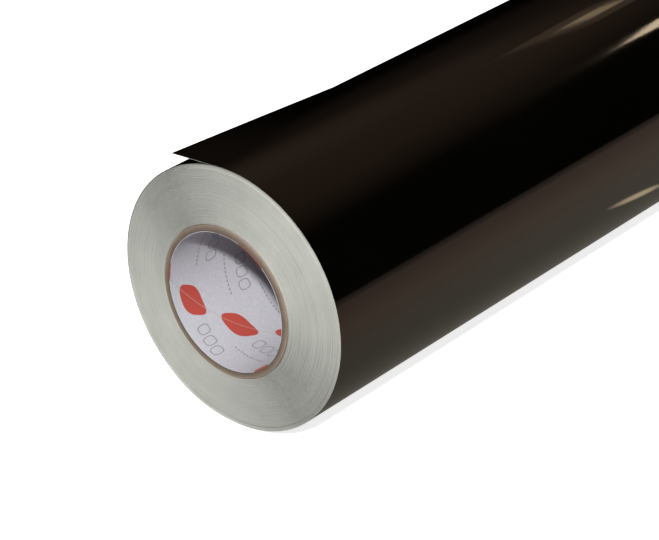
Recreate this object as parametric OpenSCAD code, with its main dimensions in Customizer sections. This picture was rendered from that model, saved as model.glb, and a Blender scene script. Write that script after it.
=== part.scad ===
// A roll of self-adhesive sign vinyl: glossy film on a release liner, wound film side out on a
// spiral-wound paper core. The roll's axis is X, and the roll lies with +Z up. The origin is on the
// axis at the middle of the core. An angle round the roll is counted from -Y, through +Z (the top)
// to +Y, which is the way the web winds: its free end comes over the top and is cut past it.

/* [Web] */
// Width of the web, along the roll
web_width = 1000; // [600:10:1600]
// Length of web wound on the core, in metres
web_length = 50; // [10:1:60]
// Thickness of the PVC film
film_thickness = 0.075; // [0.05:0.005:0.12]
// Thickness of the adhesive coat, which belongs to the film
adhesive_thickness = 0.02; // [0.015:0.005:0.04]
// Thickness of the release liner
liner_thickness = 0.13; // [0.08:0.005:0.2]

/* [Core] */
// Bore of the core, 3 inch
core_bore = 76.2; // [50:0.1:152.4]
// How far each end of the core stands out past the innermost turns
core_overhang = 1; // [0.5:0.1:5]
// Thickness of the printed lining inside the core
lining_thickness = 0.3; // [0.2:0.05:0.6]
// Number of kraft board plies in the core's wall
board_plies = 6; // [6:1:6]
// Thickness of one board ply
board_ply_thickness = 0.52; // [0.3:0.01:0.9]
// Thickness of the smooth outer ply
outer_ply_thickness = 0.28; // [0.2:0.02:0.6]

/* [Start tape] */
// Width of the tape strip, round the core
tape_width = 25; // [12:1:50]
// Thickness of the tape
tape_thickness = 0.1; // [0.05:0.01:0.2]
// Angle at which the web starts on the core
start_angle = 201; // [150:3:300]

/* [Winding] */
// How far the turns have slipped along the roll, from the innermost to the outermost
telescope = 3.5; // [0:0.1:10]
// Angle of the cut edge
cut_angle = 120; // [114:3:150]
// Angle of the line where the free end starts to bend up
tail_angle = 87; // [84:3:90]
// Angle of the line where the film starts to peel off its liner
peel_angle = 93; // [90:3:96]
// Angle taken by each of the three bending strips behind the free end
strip_angle = 15; // [6:3:21]

/* [Lifted corner] */
// How far back from the cut edge the corner has come off the roll, at the near end
corner_reach = 32; // [5:1:32]
// How far along the roll the lift fades out
corner_fade = 125; // [60:5:300]

/* [Clearances] */
// Gap under the strips that bend away from the roll
wrap_gap = 0.05; // [0.02:0.01:0.3]
// Gap between the film's loose flap and its liner
peel_gap = 0.02; // [0.01:0.01:0.1]
// Gap between one bending strip and the next
strip_gap = 0.05; // [0.02:0.01:0.2]

/* [Hidden] */

// The core's wall, from the bore outwards
bore_radius = core_bore / 2;
board_inner_radius = bore_radius + lining_thickness;
board_outer_radius = board_inner_radius + board_plies * board_ply_thickness;
core_radius = board_outer_radius + outer_ply_thickness;
core_length = web_width + 2 * core_overhang;

// The web: the adhesive counts with the film, and one turn climbs by the web's thickness
film_stack = film_thickness + adhesive_thickness;
web_thickness = film_stack + liner_thickness;
start_radius = core_radius + tape_thickness;
roll_radius = sqrt(pow(start_radius, 2) + web_length * 1000 * web_thickness / PI);

// Every wound surface is made of flat facets at the same angles, so that turns lie flat on turns
facet = 3;
strip_angles = [for (k = [3 : -1 : 0]) tail_angle - k * strip_angle];
outer_turn_end = strip_angles[0];
near_edge = -web_width / 2 + telescope;

film_black = "#15120f";
liner_white = "#dde0d8";
edge_grey = "#b9bcb3";
kraft_brown = "#9b7a57";
lining_white = "#f0f0f2";
tape_cream = "#d9cfae";

// A point at an angle and a radius, as [Y, Z]
function polar(angle, radius) = [-radius * cos(angle), radius * sin(angle)];

// Radius of the film's outer face at an angle that counts on from turn to turn
function face_radius(angle) = roll_radius + web_thickness * (angle - cut_angle) / 360;

// Radius of the liner's inner face in the first turn, which starts on the tape
function first_radius(angle) =
    (start_radius + web_thickness * (angle - start_angle) / 360) / cos(facet / 2);

// A point on the wound web at any angle, height above the outer face included: facets are flat
function on_wrap(angle, height) =
    let (
        from = facet * floor(angle / facet),
        share = (angle - from) / facet,
        a = polar(from, face_radius(from) + height),
        b = polar(from + facet, face_radius(from + facet) + height)
    )
    a + share * (b - a);

// A point at any angle on a facet that lies on the core, or at a height above it
function on_core(angle, height) =
    let (
        from = start_angle + facet * floor((angle - start_angle) / facet),
        share = (angle - from) / facet,
        radius = (core_radius + height) / cos(facet / 2)
    )
    (1 - share) * polar(from, radius) + share * polar(from + facet, radius);

// Angles of a strip's corners, its first edge held back by the gap between strips
function strip_corners(from, to, gap) = [
    for (a = [from : facet : to]) a == from ? a + gap / face_radius(a) * 180 / PI : a
];

// Draws a [Y, Z] outline and extrudes it along the roll
module along_roll(from, to) {
    translate([from, 0, 0]) rotate([90, 0, 90]) linear_extrude(to - from) children();
}

// A layer of wound web between two heights above the outer face, both at or below 0 on the roll
module wound_layer(from, to, bottom, top, gap = 0) {
    angles = strip_corners(from, to, gap);
    along_roll(near_edge, near_edge + web_width)
        polygon(concat(
            [for (a = angles) on_wrap(a, top)],
            [for (k = [len(angles) - 1 : -1 : 0]) on_wrap(angles[k], bottom)]
        ));
}

// A layer of the first turn between two heights above the liner's inner face
module first_layer(bottom, top) {
    angles = [start_angle : facet : start_angle + 360];
    steps = 360 / facet;
    along_roll(-web_width / 2, web_width / 2)
        polygon(concat(
            [for (a = angles) polar(a, first_radius(a) + top)],
            [for (k = [steps : -1 : 0])
                polar(start_angle + k * facet, first_radius(start_angle + k * facet) + bottom)]
        ));
}

// A plain tube of the core
module core_tube(inner, outer) {
    along_roll(-core_length / 2, core_length / 2)
        difference() {
            circle(outer, $fn = 180);
            circle(inner, $fn = 180);
        }
}

// White printed paper that lines the bore: the wall that a mandrel or a plug meets
module core_lining() {
    color(lining_white) core_tube(bore_radius, board_inner_radius);
}

// One kraft board ply, counted from the bore
module core_ply(number) {
    inner = board_inner_radius + (number - 1) * board_ply_thickness;
    color(kraft_brown) core_tube(inner, inner + board_ply_thickness);
}

// Smooth kraft ply that closes the core's outside
module core_outer_ply() {
    color(kraft_brown) core_tube(board_outer_radius, core_radius);
}

// Double-sided strip that holds the start of the liner on the core. Its facets are the web's own.
module start_tape() {
    end_angle = start_angle + tape_width / core_radius * 180 / PI;
    last_facet = facet * floor((end_angle - start_angle) / facet) + start_angle;
    angles = concat([for (a = [start_angle : facet : last_facet]) a], [end_angle]);
    color(tape_cream)
        along_roll(-web_width / 2, web_width / 2)
            polygon(concat(
                [for (a = angles) on_core(a, tape_thickness)],
                [for (k = [len(angles) - 1 : -1 : 0]) on_core(angles[k], 0)]
            ));
}

// Liner of the first turn, lying on the start tape
module liner_first_turn() {
    color(liner_white) first_layer(0, liner_thickness);
}

// Film of the first turn
module film_first_turn() {
    color(film_black) first_layer(liner_thickness, web_thickness);
}

// All the turns between the first and the outer one. The turns have slipped along the roll a
// little, so that both ends are shallow cones.
module wound_turns() {
    slope = telescope / (roll_radius - core_radius);
    beyond = roll_radius + 5;
    shift_in = -slope * core_radius;
    shift_out = slope * (beyond - core_radius);
    color(edge_grey)
        intersection() {
            along_roll(-web_width, web_width)
                difference() {
                    polygon([for (a = [outer_turn_end - 360 : facet : outer_turn_end])
                        on_wrap(a, -web_thickness)]);
                    polygon([for (a = [start_angle : facet : start_angle + 360])
                        polar(a, first_radius(a) + web_thickness)]);
                }
            rotate([0, 90, 0])
                rotate_extrude($fn = 180)
                    polygon([
                        [0, -web_width / 2 + shift_in],
                        [beyond, -web_width / 2 + shift_out],
                        [beyond, web_width / 2 + shift_out],
                        [0, web_width / 2 + shift_in]
                    ]);
        }
}

// Liner of the outer turn, up to the first bending strip
module liner_outer_turn() {
    color(liner_white)
        wound_layer(outer_turn_end - 360, outer_turn_end, -web_thickness, -film_stack);
}

// Film of the outer turn: most of what shows of the roll
module film_outer_turn() {
    color(film_black) wound_layer(outer_turn_end - 360, outer_turn_end, -film_stack, 0);
}

// Liner of one bending strip of the web, counted towards the free end
module liner_strip(number) {
    color(liner_white)
        wound_layer(strip_angles[number - 1], strip_angles[number],
            wrap_gap - web_thickness, wrap_gap - film_stack, strip_gap);
}

// Film of one bending strip of the web
module film_strip(number) {
    color(film_black)
        wound_layer(strip_angles[number - 1], strip_angles[number],
            wrap_gap - film_stack, wrap_gap, strip_gap);
}

// Angle at which the web leaves the roll, so far along it from the near end
function leaving_angle(along) =
    cut_angle - (along < corner_fade ? corner_reach * sqrt(1 - along / corner_fade) : 0)
        / roll_radius * 180 / PI;

// A point of the free end: on the roll up to the leaving angle, and straight on from there
function on_tail(angle, along, height) =
    let (leaving = leaving_angle(along), free = (angle - leaving) * PI / 180 * roll_radius)
    angle <= leaving
        ? on_wrap(angle, height)
        : polar(leaving, face_radius(leaving) + height) + free * [sin(leaving), cos(leaving)];

// A sheet of the free end, lifted at its near corner, between two heights above the outer face
module tail_sheet(from, bottom, top) {
    lift_rows = 12;
    rows = concat(
        [for (k = [0 : lift_rows]) corner_fade * k / lift_rows],
        [web_width]
    );
    columns = strip_corners(from, cut_angle, strip_gap);
    row_count = len(rows);
    column_count = len(columns);
    layer = row_count * column_count;
    points = [
        for (height = [bottom, top]) for (along = rows) for (angle = columns)
            let (p = on_tail(angle, along, height)) [near_edge + along, p[0], p[1]]
    ];
    function at(level, row, column) = level * layer + row * column_count + column;
    last_row = row_count - 1;
    last_column = column_count - 1;
    faces = concat(
        [for (r = [0 : last_row - 1]) for (c = [0 : last_column - 1])
            [at(1, r, c), at(1, r, c + 1), at(1, r + 1, c)]],
        [for (r = [0 : last_row - 1]) for (c = [0 : last_column - 1])
            [at(1, r + 1, c), at(1, r, c + 1), at(1, r + 1, c + 1)]],
        [for (r = [0 : last_row - 1]) for (c = [0 : last_column - 1])
            [at(0, r, c), at(0, r + 1, c), at(0, r, c + 1)]],
        [for (r = [0 : last_row - 1]) for (c = [0 : last_column - 1])
            [at(0, r + 1, c), at(0, r + 1, c + 1), at(0, r, c + 1)]],
        [for (c = [0 : last_column - 1])
            [at(0, 0, c), at(0, 0, c + 1), at(1, 0, c + 1), at(1, 0, c)]],
        [for (c = [0 : last_column - 1])
            [at(0, last_row, c), at(1, last_row, c), at(1, last_row, c + 1),
                at(0, last_row, c + 1)]],
        [for (r = [0 : last_row - 1])
            [at(0, r, 0), at(1, r, 0), at(1, r + 1, 0), at(0, r + 1, 0)]],
        [for (r = [0 : last_row - 1])
            [at(0, r, last_column), at(0, r + 1, last_column), at(1, r + 1, last_column),
                at(1, r, last_column)]]
    );
    polyhedron(points, faces, convexity = 4);
}

// Liner of the free end
module liner_tail() {
    color(liner_white)
        tail_sheet(tail_angle, wrap_gap - web_thickness, wrap_gap - film_stack);
}

// Film of the free end that stays stuck to its liner
module film_tail() {
    color(film_black)
        wound_layer(tail_angle, peel_angle, wrap_gap - film_stack, wrap_gap, strip_gap);
}

// Film of the free end that peels off its liner
module film_flap() {
    color(film_black)
        tail_sheet(peel_angle, wrap_gap + peel_gap - film_stack, wrap_gap + peel_gap);
}

core_lining();
core_ply(1);  // core_ply_1
core_ply(2);  // core_ply_2
core_ply(3);  // core_ply_3
core_ply(4);  // core_ply_4
core_ply(5);  // core_ply_5
core_ply(6);  // core_ply_6
core_outer_ply();
start_tape();
liner_first_turn();
film_first_turn();
wound_turns();
liner_outer_turn();
film_outer_turn();
liner_strip(1);  // liner_strip_1
film_strip(1);  // film_strip_1
liner_strip(2);  // liner_strip_2
film_strip(2);  // film_strip_2
liner_strip(3);  // liner_strip_3
film_strip(3);  // film_strip_3
liner_tail();
film_tail();
film_flap();
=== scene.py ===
import math

import bmesh
import bpy
import numpy as np
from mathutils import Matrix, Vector


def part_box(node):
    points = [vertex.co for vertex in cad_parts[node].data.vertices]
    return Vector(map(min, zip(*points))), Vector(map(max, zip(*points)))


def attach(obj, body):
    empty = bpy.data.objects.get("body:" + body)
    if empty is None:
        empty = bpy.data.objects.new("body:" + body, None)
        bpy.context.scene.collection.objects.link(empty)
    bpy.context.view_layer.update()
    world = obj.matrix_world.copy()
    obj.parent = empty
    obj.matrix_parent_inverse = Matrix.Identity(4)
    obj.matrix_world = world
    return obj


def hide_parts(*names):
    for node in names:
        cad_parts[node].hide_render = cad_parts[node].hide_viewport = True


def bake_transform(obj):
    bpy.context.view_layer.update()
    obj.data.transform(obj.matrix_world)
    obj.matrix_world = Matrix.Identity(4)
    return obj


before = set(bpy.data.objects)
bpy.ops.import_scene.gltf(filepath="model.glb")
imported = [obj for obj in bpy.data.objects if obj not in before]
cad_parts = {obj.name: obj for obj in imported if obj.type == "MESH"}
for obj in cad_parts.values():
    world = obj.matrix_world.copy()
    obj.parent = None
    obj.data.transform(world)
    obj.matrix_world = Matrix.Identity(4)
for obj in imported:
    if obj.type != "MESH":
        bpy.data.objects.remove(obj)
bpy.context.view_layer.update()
mm = 0.001


# Core lining: a strip of white paper wound in a spiral against the bore, its edges butting in a
# seam, and glued to the board behind it. It is printed in red and grey with lozenges, rings and
# dashes that follow the spiral.
lining_low, lining_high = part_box("core_lining")
core_middle = (lining_low.x + lining_high.x) / 2
core_length = lining_high.x - lining_low.x
lining_wall = 0.3 * mm
bore_radius = (lining_high.z - lining_low.z) / 2 - lining_wall


class Field:
    """A number in a node tree. Each operator adds the Math node that works it out."""

    def __init__(self, tree, socket):
        self.tree = tree
        self.socket = socket

    def math(self, operation, *others):
        node = self.tree.nodes.new("ShaderNodeMath")
        node.operation = operation
        for slot, value in zip(node.inputs, (self, *others)):
            connect(self.tree, value, slot)
        return Field(self.tree, node.outputs[0])

    def turned(self, operation, other):
        node = self.tree.nodes.new("ShaderNodeMath")
        node.operation = operation
        connect(self.tree, other, node.inputs[0])
        connect(self.tree, self, node.inputs[1])
        return Field(self.tree, node.outputs[0])

    def __add__(self, other):
        return self.math("ADD", other)

    def __sub__(self, other):
        return self.math("SUBTRACT", other)

    def __mul__(self, other):
        return self.math("MULTIPLY", other)

    def __truediv__(self, other):
        return self.math("DIVIDE", other)

    def __radd__(self, other):
        return self.turned("ADD", other)

    def __rsub__(self, other):
        return self.turned("SUBTRACT", other)

    def __rmul__(self, other):
        return self.turned("MULTIPLY", other)

    def __rtruediv__(self, other):
        return self.turned("DIVIDE", other)

    def __neg__(self):
        return self.math("MULTIPLY", -1)

    def __abs__(self):
        return self.math("ABSOLUTE")

    def below(self, limit, soft=0.0):
        """1 where the number is under the limit, 0 over it, with a soft step between."""
        if not soft:
            return self.math("LESS_THAN", limit)
        ends = {"From Min": limit - soft, "From Max": limit + soft, "To Min": 1.0, "To Max": 0.0}
        return Nodes(self.tree).add(
            "ShaderNodeMapRange", {"interpolation_type": "SMOOTHSTEP"}, {"Value": self, **ends}
        )


def connect(tree, value, slot):
    """Links a field or socket to a slot, or writes a plain value in it."""
    if isinstance(value, Field):
        tree.links.new(value.socket, slot)
    elif isinstance(value, bpy.types.NodeSocket):
        tree.links.new(value, slot)
    else:
        slot.default_value = value


class Nodes:
    """A node tree, with one method that adds any node to it."""

    def __init__(self, tree):
        self.tree = tree

    def add(self, kind, settings=None, values=None, out=0):
        node = self.tree.nodes.new(kind)
        for name, value in (settings or {}).items():
            if name == "stops":
                stops = node.color_ramp.elements
                while len(stops) < len(value):
                    stops.new(1)
                for stop, (place, colour) in zip(stops, value):
                    stop.position = place
                    stop.color = (*colour, 1)
            else:
                setattr(node, name, value)
        for name, value in (values or {}).items():
            connect(self.tree, value, node.inputs[name])
        return Field(self.tree, node.outputs[out])


def apart(nodes, vector):
    """The X, Y and Z of a vector."""
    split = nodes.add("ShaderNodeSeparateXYZ", None, {0: vector}).socket.node
    return [Field(nodes.tree, number) for number in split.outputs]


def noise(nodes, spot, scale, detail):
    """Soft random tones, between 0 and 1."""
    return nodes.add("ShaderNodeTexNoise", None, {"Vector": spot, "Scale": scale, "Detail": detail})


def toned(nodes, share, stops):
    """A colour that runs through the stops as a number goes from 0 to 1."""
    return nodes.add("ShaderNodeValToRGB", {"stops": stops}, {"Fac": share})


def laid_over(nodes, share, under, over):
    """One colour laid over another where a number is 1."""
    values = {"Factor": share, 6: under, 7: over}
    return nodes.add("ShaderNodeMix", {"data_type": "RGBA"}, values, out=2)


def roughen(nodes, shader, height, strength, distance):
    """Gives a surface the small relief of a height field."""
    values = {"Height": height, "Strength": strength, "Distance": distance}
    connect(nodes.tree, nodes.add("ShaderNodeBump", None, values, out="Normal"), shader.inputs["Normal"])


def surface(name, base, roughness, **others):
    """A new material, the object coordinates in its tree, and its shader with its constants set."""
    material = bpy.data.materials.new(name)
    material.use_nodes = True
    shader = material.node_tree.nodes["Principled BSDF"]
    shader.inputs["Base Color"].default_value = (*base, 1)
    shader.inputs["Roughness"].default_value = roughness
    for key, value in others.items():
        shader.inputs[key.replace("_", " ")].default_value = value
    nodes = Nodes(material.node_tree)
    return material, nodes, nodes.add("ShaderNodeTexCoord", out="Object"), shader


# The print is set out in cells that step round the bore and along it with the spiral. Each cell
# holds one lozenge, three rings and a row of dashes.
steps_round = 10
step_round = 2 * math.pi * bore_radius / steps_round
step_along = 18 * mm
row_along = step_along * steps_round / 3
mark_round = 5 * mm
mark_along = 12 * mm
soft_edge = 0.2 * mm
lining_material, nodes, spot, shader = surface("printed_lining", (0.85, 0.85, 0.87), 0.5)
x, y, z = apart(nodes, spot)
share_round = (z.math("ARCTAN2", -y) / (2 * math.pi) + 1).math("FRACT")
depth = x - lining_low.x


def cell(round_shift, along_shift):
    """Distances from the middle of the nearest mark's cell, round the bore and along it."""
    steps = share_round * steps_round - round_shift / step_round
    whole = steps.math("FLOOR")
    across = (steps - whole - 0.5) * step_round
    rows = (depth - along_shift - whole * step_along) / row_along
    along = (rows - rows.math("FLOOR") - 0.5) * row_along
    return across, along


def rounded(across, along, half_across, half_along, power):
    """A number that is 1 on the outline of a rounded mark and less inside it."""
    return abs(across / half_across).math("POWER", power) + abs(along / half_along).math("POWER", power)


across, along = cell(mark_round, mark_along)
red_print = rounded(across - along * 0.45, along, 8.6 * mm, 6.6 * mm, 3.2).below(1.0, 0.06)
grey_print = red_print * 0
for onward, back in ((16.5, 2.0), (23.3, 3.5), (30.0, 5.0)):
    across, along = cell(mark_round + onward * mm, mark_along - back * mm)
    ring = abs(rounded(across, along, 2.6 * mm, 3.7 * mm, 3) - 1).below(0.28, 0.1)
    grey_print = grey_print.math("MAXIMUM", ring)
across, along = cell(mark_round - 27.3 * mm, mark_along + 9.5 * mm)
dashes = abs((across / (2.3 * mm)).math("FRACT") - 0.5).below(0.3, 0.08)
dashes = dashes * abs(along + across * 0.13).below(0.45 * mm, soft_edge)
dashes = dashes * abs(across).below(11 * mm, soft_edge)
grey_print = grey_print.math("MAXIMUM", dashes)
fibre = noise(nodes, spot, 700.0, 4.0)
paper = toned(nodes, fibre, [(0.3, (0.525, 0.525, 0.575)), (0.7, (0.60, 0.60, 0.65))])
greyed = laid_over(nodes, grey_print * 0.75, paper, (0.20, 0.20, 0.23, 1))
printed = laid_over(nodes, red_print * 0.95, greyed, (0.50, 0.052, 0.03, 1))
seam_at = (depth / (step_along * steps_round) - share_round).math("FRACT")
seam = abs(seam_at - 0.5).below(0.0018, 0.0010)
seamed = laid_over(nodes, seam * 0.45, printed, (0.45, 0.40, 0.36, 1))
connect(nodes.tree, seamed, shader.inputs["Base Color"])
roughen(nodes, shader, fibre * 0.05 - seam, 0.5, 0.1 * mm)


def wound_sheet_tree():
    """Geometry nodes that wind a sheet round the roll's axis, X, from one radius outwards, turn on
    turn. An angle counts from -Y over the top to +Y, as the web winds."""
    tree = bpy.data.node_groups.new("wound_sheet", "GeometryNodeTree")
    tree.interface.new_socket("Geometry", in_out="OUTPUT", socket_type="NodeSocketGeometry")
    lengths = ["Inner Radius", "Pitch", "Thickness", "Start Angle", "Turns", "Width", "Middle"]
    unevenness = ["Slip", "Slip From", "Ragged", "Ragged Scale", "Seed"]
    set_back = ["Recess", "Recess From", "Recess To"]
    for name in lengths + unevenness + set_back:
        tree.interface.new_socket(name, in_out="INPUT", socket_type="NodeSocketFloat")
    tree.interface.new_socket("Steps", in_out="INPUT", socket_type="NodeSocketInt")
    tree.interface.new_socket("Material", in_out="INPUT", socket_type="NodeSocketMaterial")
    nodes = Nodes(tree)
    group = tree.nodes.new("NodeGroupInput")
    size = {given.name: Field(tree, given) for given in group.outputs if given.name}

    # A unit grid whose X runs along the sheet. Its five rows are the corners of the sheet's
    # section, with the first corner again to close it.
    counts = {"Vertices X": size["Steps"] + 1, "Vertices Y": 5}
    grid = nodes.add("GeometryNodeMeshGrid", None, {"Size X": 1.0, "Size Y": 1.0, **counts})
    grid_x, grid_y, _ = apart(nodes, nodes.add("GeometryNodeInputPosition"))
    corner = ((grid_y + 0.5) * 4).math("ROUND")
    far_side = abs(corner - 1.5).below(1.0)
    outer_side = abs(corner - 2.5).below(1.0)
    turn = (grid_x + 0.5) * size["Turns"]
    angle = size["Start Angle"] + turn * (2 * math.pi)
    cosine = angle.math("COSINE")
    sine = angle.math("SINE")
    mid_radius = size["Inner Radius"] + size["Pitch"] * turn
    radius = mid_radius + size["Thickness"] * outer_side

    # Each turn's edges stand a little differently, and between two radii they are set back.
    this_turn = turn.math("FLOOR") * size["Ragged Scale"] + size["Seed"] + far_side * 37.0
    wobble_at = nodes.add("ShaderNodeCombineXYZ", None, {0: cosine * 0.6, 1: sine * 0.6, 2: this_turn})
    wobble = noise(nodes, wobble_at, 1.0, 3.0) - 0.5
    past_start = mid_radius.math("GREATER_THAN", size["Recess From"])
    before_end = mid_radius.math("LESS_THAN", size["Recess To"])
    set_back = size["Recess"] * (past_start * before_end)
    half_width = size["Width"] * 0.5 - set_back
    slipped = size["Middle"] + size["Slip"] * (mid_radius - size["Slip From"])
    along = slipped + (far_side * 2 - 1) * half_width + size["Ragged"] * wobble
    place = nodes.add("ShaderNodeCombineXYZ", None, {0: along, 1: -(radius * cosine), 2: radius * sine})
    wound = nodes.add("GeometryNodeSetPosition", None, {"Geometry": grid, "Position": place})
    welded = nodes.add("GeometryNodeMergeByDistance", None, {"Geometry": wound, "Distance": 1e-6})
    real = nodes.add("GeometryNodeRealizeInstances", None, {"Geometry": welded})
    dressed = nodes.add("GeometryNodeSetMaterial", None, {"Geometry": real, "Material": size["Material"]})
    connect(tree, dressed, tree.nodes.new("NodeGroupOutput").inputs[0])
    return tree


wound_tree = wound_sheet_tree()


def finished(thing):
    """Closes a piece's open ends, turns its faces outwards and shades it smooth between edges."""
    mesh = thing.data
    shape = bmesh.new()
    shape.from_mesh(mesh)
    bmesh.ops.holes_fill(shape, edges=[edge for edge in shape.edges if edge.is_boundary], sides=8)
    bmesh.ops.recalc_face_normals(shape, faces=shape.faces)
    shape.to_mesh(mesh)
    shape.free()
    mesh.polygons.foreach_set("use_smooth", [True] * len(mesh.polygons))
    mesh.set_sharp_from_angle(angle=math.radians(40))


def wind(name, material, slot, node, **sizes):
    """One sheet wound with the tree above, made a plain mesh that rides on the roll."""
    maker = bpy.data.objects.new(name + "_maker", bpy.data.meshes.new(name + "_maker"))
    bpy.context.scene.collection.objects.link(maker)
    modifier = maker.modifiers.new("wind", "NODES")
    modifier.node_group = wound_tree
    values = {"Ragged Scale": 1.0, "Material": material}
    values.update({key.replace("_", " ").title(): size for key, size in sizes.items()})
    for item in wound_tree.interface.items_tree:
        if item.name in values:
            modifier[item.identifier] = values[item.name]
    evaluated = maker.evaluated_get(bpy.context.evaluated_depsgraph_get())
    mesh = bpy.data.meshes.new_from_object(evaluated)
    mesh.name = name
    bpy.data.objects.remove(maker)
    thing = bpy.data.objects.new(name, mesh)
    bpy.context.scene.collection.objects.link(thing)
    finished(thing)
    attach(thing, "roll")
    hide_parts(node)


wind(
    "core_lining_printed", lining_material, "core_lining", "core_lining",
    inner_radius=bore_radius, thickness=0.29 * mm, turns=1.0, steps=256,
    width=core_length - 0.2 * mm, middle=core_middle, ragged=0.25 * mm, seed=4.0,
)


# Core wall: six plies of brown kraft board and a smooth outer ply, glued in a tube round the
# lining and sawn square, so the end shows a brown ring of thin layers with a slightly furry cut.
core_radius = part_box("core_outer_ply")[1].z
board_inner = bore_radius + lining_wall
board_ply = 0.52 * mm
outer_ply = 0.28 * mm
core_ring = dict(turns=1.0, steps=192, width=core_length - 0.3 * mm, middle=core_middle)


def kraft(name, tone):
    """Brown core board with fibres and blotches."""
    base = [tone * level for level in (0.33, 0.255, 0.195)]
    material, nodes, spot, shader = surface(name, base, 0.85)
    fibre = noise(nodes, spot, 800.0, 6.0)
    blotch = noise(nodes, spot, 90.0, 2.0)
    stops = [(0.25, [0.72 * level for level in base]), (0.75, [1.2 * level for level in base])]
    shade = toned(nodes, fibre * 0.6 + blotch * 0.4, stops)
    connect(nodes.tree, shade, shader.inputs["Base Color"])
    roughen(nodes, shader, fibre, 0.5, 0.1 * mm)
    return material


# The plies alternate a little in tone, which is the board's own layering. They also get darker towards the
# bore, and that darkening is painted shade where the ring meets the bore.
for number in range(1, 7):
    tone = 0.36 + 0.09 * number - 0.08 * (number % 2)
    wind(
        f"core_board_ply_{number}", kraft(f"core_board_{number}", tone), "core_board", f"core_ply_{number}",
        inner_radius=board_inner + (number - 1) * board_ply, thickness=board_ply - 0.02 * mm,
        ragged=0.5 * mm, seed=11.3 * number, **core_ring,
    )
wind(
    "core_outer_wrap", kraft("core_outer_kraft", 1.0), "core_board", "core_outer_ply",
    inner_radius=core_radius - outer_ply, thickness=outer_ply - 0.01 * mm,
    ragged=0.3 * mm, seed=90.0, **core_ring,
)


# Start tape: a cream double-sided strip stuck along the core before winding. The first turn of
# the liner is pressed down on it.
web_low, web_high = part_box("film_outer_turn")
near_end = web_low.x
far_end = web_high.x
web_width = far_end - near_end
tape_start = math.radians(201)
tape_width = 25 * mm
tape_material, nodes, spot, shader = surface("cream_tape", (0.62, 0.54, 0.33), 0.4)
crease = noise(nodes, spot, 300.0, 3.0)
connect(nodes.tree, 0.3 + crease * 0.25, shader.inputs["Roughness"])
wind(
    "start_tape_strip", tape_material, "start_tape", "start_tape",
    inner_radius=core_radius + 0.01 * mm, thickness=0.08 * mm, start_angle=tape_start,
    turns=tape_width / (2 * math.pi * core_radius), steps=12, width=web_width - 0.4 * mm,
)


# First turn on the core: the liner, silicone-coated paper whose cut edges have a green-grey
# cast, and the film outside it. Its start is pressed down on the tape, and each turn over it
# climbs by the web's thickness.
web_thickness = 0.225 * mm
start_radius = core_radius + 0.1 * mm
first_liner = 0.01 * mm
first_film = 0.14 * mm
climb_to_cut = web_thickness * 0.26
roll_radius = (web_high.z - web_low.z) / 2 + climb_to_cut
slip = near_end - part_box("film_first_turn")[0].x
liner_material, nodes, spot, shader = surface("release_liner", (0.66, 0.68, 0.63), 0.5)
_, y, z = apart(nodes, spot)
radius = (y * y + z * z).math("SQRT")
ring_at = nodes.add("ShaderNodeCombineXYZ", None, {0: radius * 1400, 1: y * 9, 2: z * 9})
fibre = noise(nodes, spot, 900.0, 5.0)
cloud = noise(nodes, spot, 60.0, 3.0)
rings = noise(nodes, ring_at, 1.0, 3.0)
edge_tone = fibre * 0.25 + cloud * 0.35 + rings * 0.4
paper = toned(nodes, edge_tone, [(0.28, (0.455, 0.47, 0.435)), (0.72, (0.62, 0.63, 0.585))])
connect(nodes.tree, paper, shader.inputs["Base Color"])
roughen(nodes, shader, fibre, 0.2, 0.05 * mm)

# The film: glossy black calendered vinyl, cut edges and all. Its gloss is a little uneven, with
# fine peel, ripples and long shallow waves, where it was wound on itself.
film_tint = (1.0, 0.88, 0.76, 1)
film_material, nodes, spot, shader = surface(
    "black_vinyl_film", (0.002, 0.0018, 0.0012), 0.08, IOR=1.44, Specular_Tint=film_tint
)
stretched = nodes.add("ShaderNodeMapping", None, {"Vector": spot, "Scale": (0.35, 1.0, 1.0)})
peel = noise(nodes, stretched, 420.0, 2.0)
waves = noise(nodes, stretched, 26.0, 1.0)
ripple = noise(nodes, spot, 150.0, 1.0)
roughen(nodes, shader, peel * 0.012 + ripple * 0.09 + waves * 0.5, 0.25, 0.4 * mm)
haze = noise(nodes, stretched, 14.0, 4.0)
connect(nodes.tree, 0.05 + haze * 0.05, shader.inputs["Roughness"])
smudge = toned(nodes, haze, [(0.35, (0.0007, 0.0007, 0.0004)), (0.7, (0.0013, 0.0012, 0.0008))])
connect(nodes.tree, smudge, shader.inputs["Base Color"])

winding = dict(
    pitch=web_thickness, start_angle=tape_start, slip=slip / (roll_radius - core_radius),
    slip_from=core_radius, ragged_scale=0.37,
)
first_turn = dict(turns=1.0, steps=180, width=web_width, ragged=0.1 * mm, **winding)
wind(
    "liner_first_turn_wound", liner_material, "release_liner", "liner_first_turn",
    inner_radius=start_radius + first_liner, thickness=0.13 * mm, seed=1.0, **first_turn,
)
wind(
    "film_first_turn_wound", film_material, "vinyl_film", "film_first_turn",
    inner_radius=start_radius + first_film, thickness=0.083 * mm, seed=2.0, **first_turn,
)


# Turns between: the same two sheets, wound on under tension. They have slipped along the roll,
# so the end face is a shallow cone, and a band near the rim stands back a little. The film is
# cut just inside the liner's edges.
turns_between = (roll_radius - start_radius) / web_thickness - 3
steps_per_turn = 120
between = dict(
    turns=turns_between, steps=int(turns_between * steps_per_turn), ragged=0.5 * mm, seed=5.0,
    recess_from=roll_radius - 2.6 * mm, recess_to=roll_radius - 0.3 * mm, **winding,
)
wind(
    "liner_wound_turns", liner_material, "release_liner", "wound_turns",
    inner_radius=start_radius + web_thickness, thickness=0.13 * mm, width=web_width,
    recess=1.0 * mm, **between,
)
wind(
    "film_wound_turns", film_material, "vinyl_film", "wound_turns",
    inner_radius=start_radius + web_thickness + 0.135 * mm, thickness=0.085 * mm,
    width=web_width - 0.28 * mm, recess=1.1 * mm, **between,
)


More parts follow.
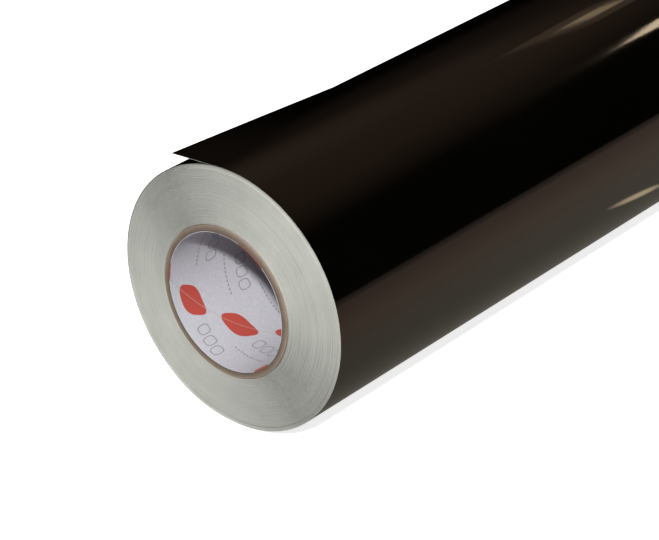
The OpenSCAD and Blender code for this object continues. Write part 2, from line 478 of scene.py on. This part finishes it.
# Outermost turn: the last turn of film and liner that stays on the roll, drawn as two smooth
# sheets. Its start lies under the free end, and its tension holds it down as far as the first
# bend of the web that opens.
web_start = -318
first_bend = 34.5
cut_line = 120
near_reach = 32 * mm
near_fade = 125 * mm
both_edges = np.array([near_end, far_end])
film = dict(name="film", material=film_material, depths=(0.0, 0.094 * mm), slot="vinyl_film")
liner = dict(
    name="liner", material=liner_material, depths=(0.097 * mm, 0.224 * mm), slot="release_liner"
)


def web_spot(angle, x, depth):
    """A point of the web at rest: its angle in degrees, its X, and its depth under the film.
    The web runs straight on past its leaving line, which lies further back at the near edge."""
    turn = np.radians(angle)
    radius = roll_radius + web_thickness * (angle - cut_line) / 360.0
    along = np.clip((x - near_end) / near_fade, 0, 1)
    leaving = math.radians(cut_line) - near_reach * np.sqrt(1 - along) / roll_radius
    on_roll = np.minimum(turn, leaving)
    beyond = (turn - on_roll) * radius
    rim = radius - depth
    y = -rim * np.cos(on_roll) + beyond * np.sin(on_roll)
    z = rim * np.sin(on_roll) + beyond * np.cos(on_roll)
    return y, z


def web_sheet(name, layer, node, angles, stations):
    """A closed sheet of one layer of the web, between its first and last angle."""
    angle, x = np.meshgrid(angles, stations, indexing="ij")
    spots = []
    for depth in layer["depths"]:
        y, z = web_spot(angle, x, depth)
        spots.append(np.stack([x, y, z], axis=-1).reshape(-1, 3))
    rows = len(angles)
    columns = len(stations)

    def at(i, j, face):
        return i * columns + j + face * rows * columns

    faces = []
    for i in range(rows - 1):
        for j in range(columns - 1):
            faces.append((at(i, j, 0), at(i, j + 1, 0), at(i + 1, j + 1, 0), at(i + 1, j, 0)))
            faces.append((at(i, j, 1), at(i + 1, j, 1), at(i + 1, j + 1, 1), at(i, j + 1, 1)))
        for j in (0, columns - 1):
            faces.append((at(i, j, 0), at(i + 1, j, 0), at(i + 1, j, 1), at(i, j, 1)))
    for j in range(columns - 1):
        for i in (0, rows - 1):
            faces.append((at(i, j, 0), at(i, j, 1), at(i, j + 1, 1), at(i, j + 1, 0)))
    mesh = bpy.data.meshes.new(name)
    mesh.from_pydata(np.concatenate(spots).tolist(), [], faces)
    mesh.materials.append(layer["material"])
    thing = bpy.data.objects.new(name, mesh)
    bpy.context.scene.collection.objects.link(thing)
    finished(thing)
    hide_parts(node)
    return thing


outer_angles = np.linspace(web_start, first_bend, 706)
for layer in (film, liner):
    name = layer["name"]
    outer = web_sheet(f"{name}_outermost_turn", layer, f"{name}_outer_turn", outer_angles, both_edges)
    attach(outer, "roll")


# Three stretches of the web past the outermost turn, 15 degrees each: the same film and liner,
# uncut, drawn where they lie at rest.
strip_span = 15


def rim_point(angle):
    """A point on the film's outer face, where a bend starts or ends."""
    y, z = web_spot(np.array(float(angle)), np.array(far_end), 0.0)
    return 0.0, float(y), float(z)


for layer in (film, liner):
    name = layer["name"]
    for number in (1, 2, 3):
        first = first_bend + strip_span * (number - 1)
        last = first + strip_span
        angles = np.linspace(first, last, 61)
        bend = web_sheet(f"{name}_bend_{number}", layer, f"{name}_strip_{number}", angles, both_edges)
        rim_point(first)
        rim_point(last)
        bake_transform(bend)


# Free end: film and liner cut straight across. The near corner springs up from the roll. The
# film's end is a flap of its own, from 90 degrees to the cut, drawn lying on the liner.
tail_start = first_bend + 3 * strip_span
flap_start = 90

# Stations along the roll crowd towards the far end of the curl, where the web turns fastest.
near_curve = near_end + near_fade * (1 - (1 - np.linspace(0, 1, 33)) ** 1.6)
stations = np.concatenate([near_curve, np.linspace(near_end + near_fade, far_end, 9)[1:]])
root_angles = np.linspace(tail_start, flap_start, 43)
flap_angles = np.linspace(flap_start, cut_line, 97)
tail_angles = np.concatenate([root_angles, flap_angles[1:]])
bend_start = rim_point(84)
bend_end = rim_point(90)
peel_start = rim_point(93)
peel_end = rim_point(99)
film_root = web_sheet("film_tail_root", film, "film_tail", root_angles, both_edges)
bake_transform(film_root)
liner_end = web_sheet("liner_free_end", liner, "liner_tail", tail_angles, stations)
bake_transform(liner_end)
film_end = web_sheet("film_free_end", film, "film_flap", flap_angles, stations)
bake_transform(film_end)


# Floor: plain pale paper that the roll lies on. It glows, so it stays white, and it neither
# lights the roll nor shows in its gloss.
floor_height = web_low.z
stage_reach = 14
floor_material, nodes, spot, shader = surface("floor_paper", (0.86, 0.86, 0.85), 0.9)
grain = noise(nodes, spot, 220.0, 3.0)
tone = toned(nodes, grain, [(0.3, (0.84, 0.84, 0.83)), (0.7, (0.88, 0.88, 0.87))])
connect(nodes.tree, tone, shader.inputs["Base Color"])
shader.inputs["Emission Color"].default_value = (1, 1, 1, 1)
shader.inputs["Emission Strength"].default_value = 0.8


def plane(name, front, back, height, material):
    """A flat rectangle of the stage, as long as the stage, between two places along Y."""
    mesh = bpy.data.meshes.new(name)
    ends = [(-stage_reach, front), (stage_reach, front), (stage_reach, back), (-stage_reach, back)]
    mesh.from_pydata([(x, y, height) for x, y in ends], [], [(0, 1, 2, 3)])
    mesh.materials.append(material)
    thing = bpy.data.objects.new(name, mesh)
    bpy.context.scene.collection.objects.link(thing)
    return thing


floor = plane("floor", -stage_reach, stage_reach, floor_height, floor_material)
floor.visible_glossy = False
floor.visible_diffuse = False


# Table top, which only gloss picks up: warm, darker where the roll shades it, and fading
# towards a straight edge along the roll. One small glint lies on it.
table_edge = 1.5
table_back = 0.15
table_material, nodes, spot, shader = surface("table_gleam", (0, 0, 0), 1.0)
x, y, _ = apart(nodes, spot)
gleam = toned(
    nodes,
    abs(y) / table_edge,
    [
        (0.0294, (0.17, 0.155, 0.13)),
        (0.0588, (0.30, 0.27, 0.225)),
        (0.0887, (0.51, 0.44, 0.365)),
        (0.135, (0.68, 0.54, 0.43)),
        (0.289, (0.60, 0.46, 0.375)),
        (0.308, (0.66, 0.46, 0.40)),
        (0.434, (0.60, 0.44, 0.39)),
        (0.52, (0.36, 0.29, 0.25)),
        (1.0, (0.20, 0.165, 0.145)),
    ],
)
glint_along = (x - near_end - 322 * mm) / (26 * mm)
glint_across = (y + 83 * mm - glint_along * 8 * mm) / (7 * mm)
glint = (glint_along * glint_along + glint_across * glint_across).below(0.6, 0.6)
lit = laid_over(nodes, glint, gleam, (2.0, 1.62, 1.08, 1))
connect(nodes.tree, lit, shader.inputs["Emission Color"])
shader.inputs["Emission Strength"].default_value = 1.0
table = plane("table_in_gloss", -table_edge, table_back, floor_height - 0.5 * mm, table_material)
table.visible_camera = False
table.visible_diffuse = False
table.visible_shadow = False
table.visible_transmission = False


# Room: a pale sphere round everything that backs the view and adds a little even light. Gloss
# looks through it at the dark world outside.
bpy.ops.mesh.primitive_uv_sphere_add(segments=64, ring_count=32, radius=stage_reach)
room = bpy.context.object
room.name = "room"
room.visible_glossy = False
room.data.polygons.foreach_set("use_smooth", [True] * len(room.data.polygons))
room_material, _, _, shader = surface("room_paint", (0.8, 0.8, 0.8), 1.0)
shader.inputs["Emission Color"].default_value = (1, 1, 1, 1)
shader.inputs["Emission Strength"].default_value = 0.07
room.data.materials.append(room_material)


# Lamps: a key flash on the near end, a wide softbox overhead and a fill at the far end. Three
# small windows, high up past the far end, are there for the gloss alone.
near_face = Vector((near_end, 0, 0))
far_face = Vector((far_end, 0, 0))
key_way = Vector((-0.616, -0.485, 0.62))


def lamp(name, place, aim, size, power, colour):
    """A soft area light that faces a point. A size of two numbers makes it a rectangle."""
    data = bpy.data.lights.new(name, "AREA")
    if isinstance(size, tuple):
        data.shape = "RECTANGLE"
        data.size, data.size_y = size
    else:
        data.size = size
    data.energy = power
    data.color = colour
    thing = bpy.data.objects.new(name, data)
    thing.location = place
    thing.rotation_mode = "QUATERNION"
    thing.rotation_quaternion = (Vector(aim) - Vector(place)).to_track_quat("-Z", "Y")
    bpy.context.scene.collection.objects.link(thing)
    return thing


overhead = lamp("overhead_softbox", (0.0, 0.2, 2.6), (0, 0, 0), 3.0, 9, (1, 0.995, 0.985))
key = lamp("key_flash", near_face + key_way * 3.0, near_face, 0.16, 98.0, (1, 0.985, 0.97))
key.data.shape = "DISK"
far_fill = lamp("far_fill", (3.0, 0.9, 1.5), far_face, 1.6, 55, (1, 0.99, 0.98))
for soft in (overhead, far_fill):
    soft.visible_glossy = False
right_place = (0.833, -0.318, 0.828)
right_aim = (-0.178, -0.042, 0.059)
left_place = (0.78, 0.263, 0.861)
left_aim = (-0.212, -0.021, 0.07)
for name, place, aim, size, power, colour in (
    ("window_right", right_place, right_aim, (0.10, 0.06), 0.20, (1, 0.84, 0.62)),
    ("window_left", left_place, left_aim, (0.09, 0.05), 0.032, (1, 0.78, 0.5)),
    ("window_glow", left_place, left_aim, (0.26, 0.12), 0.03, (1, 0.74, 0.5)),
):
    window = lamp(name, place, aim, size, power, colour)
    window.visible_camera = False
    window.visible_diffuse = False


# Dark room that the gloss mirrors: black above the table's edge, a dim brown ceiling, a faint
# glow in the far corner, and two pale windows, behind the roll and past its near end. It lies
# in the world, outside the painted room.
world = bpy.data.worlds.new("dark_room")
bpy.context.scene.world = world
world.use_nodes = True
nodes = Nodes(world.node_tree)
east, north, rise = apart(nodes, nodes.add("ShaderNodeTexCoord", out="Generated"))
elevation = rise.math("ARCSINE") * (180 / math.pi)
bearing = east.math("ARCTAN2", -north) * (180 / math.pi)


def patch(value, middle, half, soft):
    """1 inside a stretch of a number, 0 outside, with soft ends."""
    return abs(value - middle).below(half, soft)


ceiling_lift = (abs(bearing) - 65) * 0.17
ceiling = 1 - (elevation + ceiling_lift).below(42.0, 9.5)
far_corner = patch(bearing, 128.0, 12.0, 10.0) * (1 - elevation.below(14.0, 12.0))
back_window = patch(abs(bearing), 180.0, 28.0, 22.0) * patch(elevation, 40.0, 9.0, 8.0)
side_window = patch(bearing, -70.0, 18.0, 14.0) * patch(elevation, 46.0, 8.0, 8.0)
strength = ceiling * 0.22 + far_corner * 0.05 + back_window * 0.9 + side_window * 0.9
colour = laid_over(nodes, back_window, (1.0, 0.66, 0.50, 1), (1.0, 0.92, 0.84, 1))
background = world.node_tree.nodes["Background"]
connect(nodes.tree, colour, background.inputs["Color"])
connect(nodes.tree, strength, background.inputs["Strength"])


# Camera: in front of the near end and above it, with a long lens, looking along the roll from
# its end face.
camera_data = bpy.data.cameras.new("camera")
camera_data.sensor_width = 36
camera_data.lens = 136.2
camera_data.clip_start = 0.05
camera_data.clip_end = 60
camera = bpy.data.objects.new("camera", camera_data)
bpy.context.scene.collection.objects.link(camera)
bpy.context.scene.camera = camera
camera.location = (near_end - 0.797, -0.745, 0.623)
camera.rotation_mode = "QUATERNION"
camera.rotation_quaternion = Vector((0.665, 0.567, -0.486)).to_track_quat("-Z", "Y")
bpy.context.scene.view_settings.view_transform = "Standard"
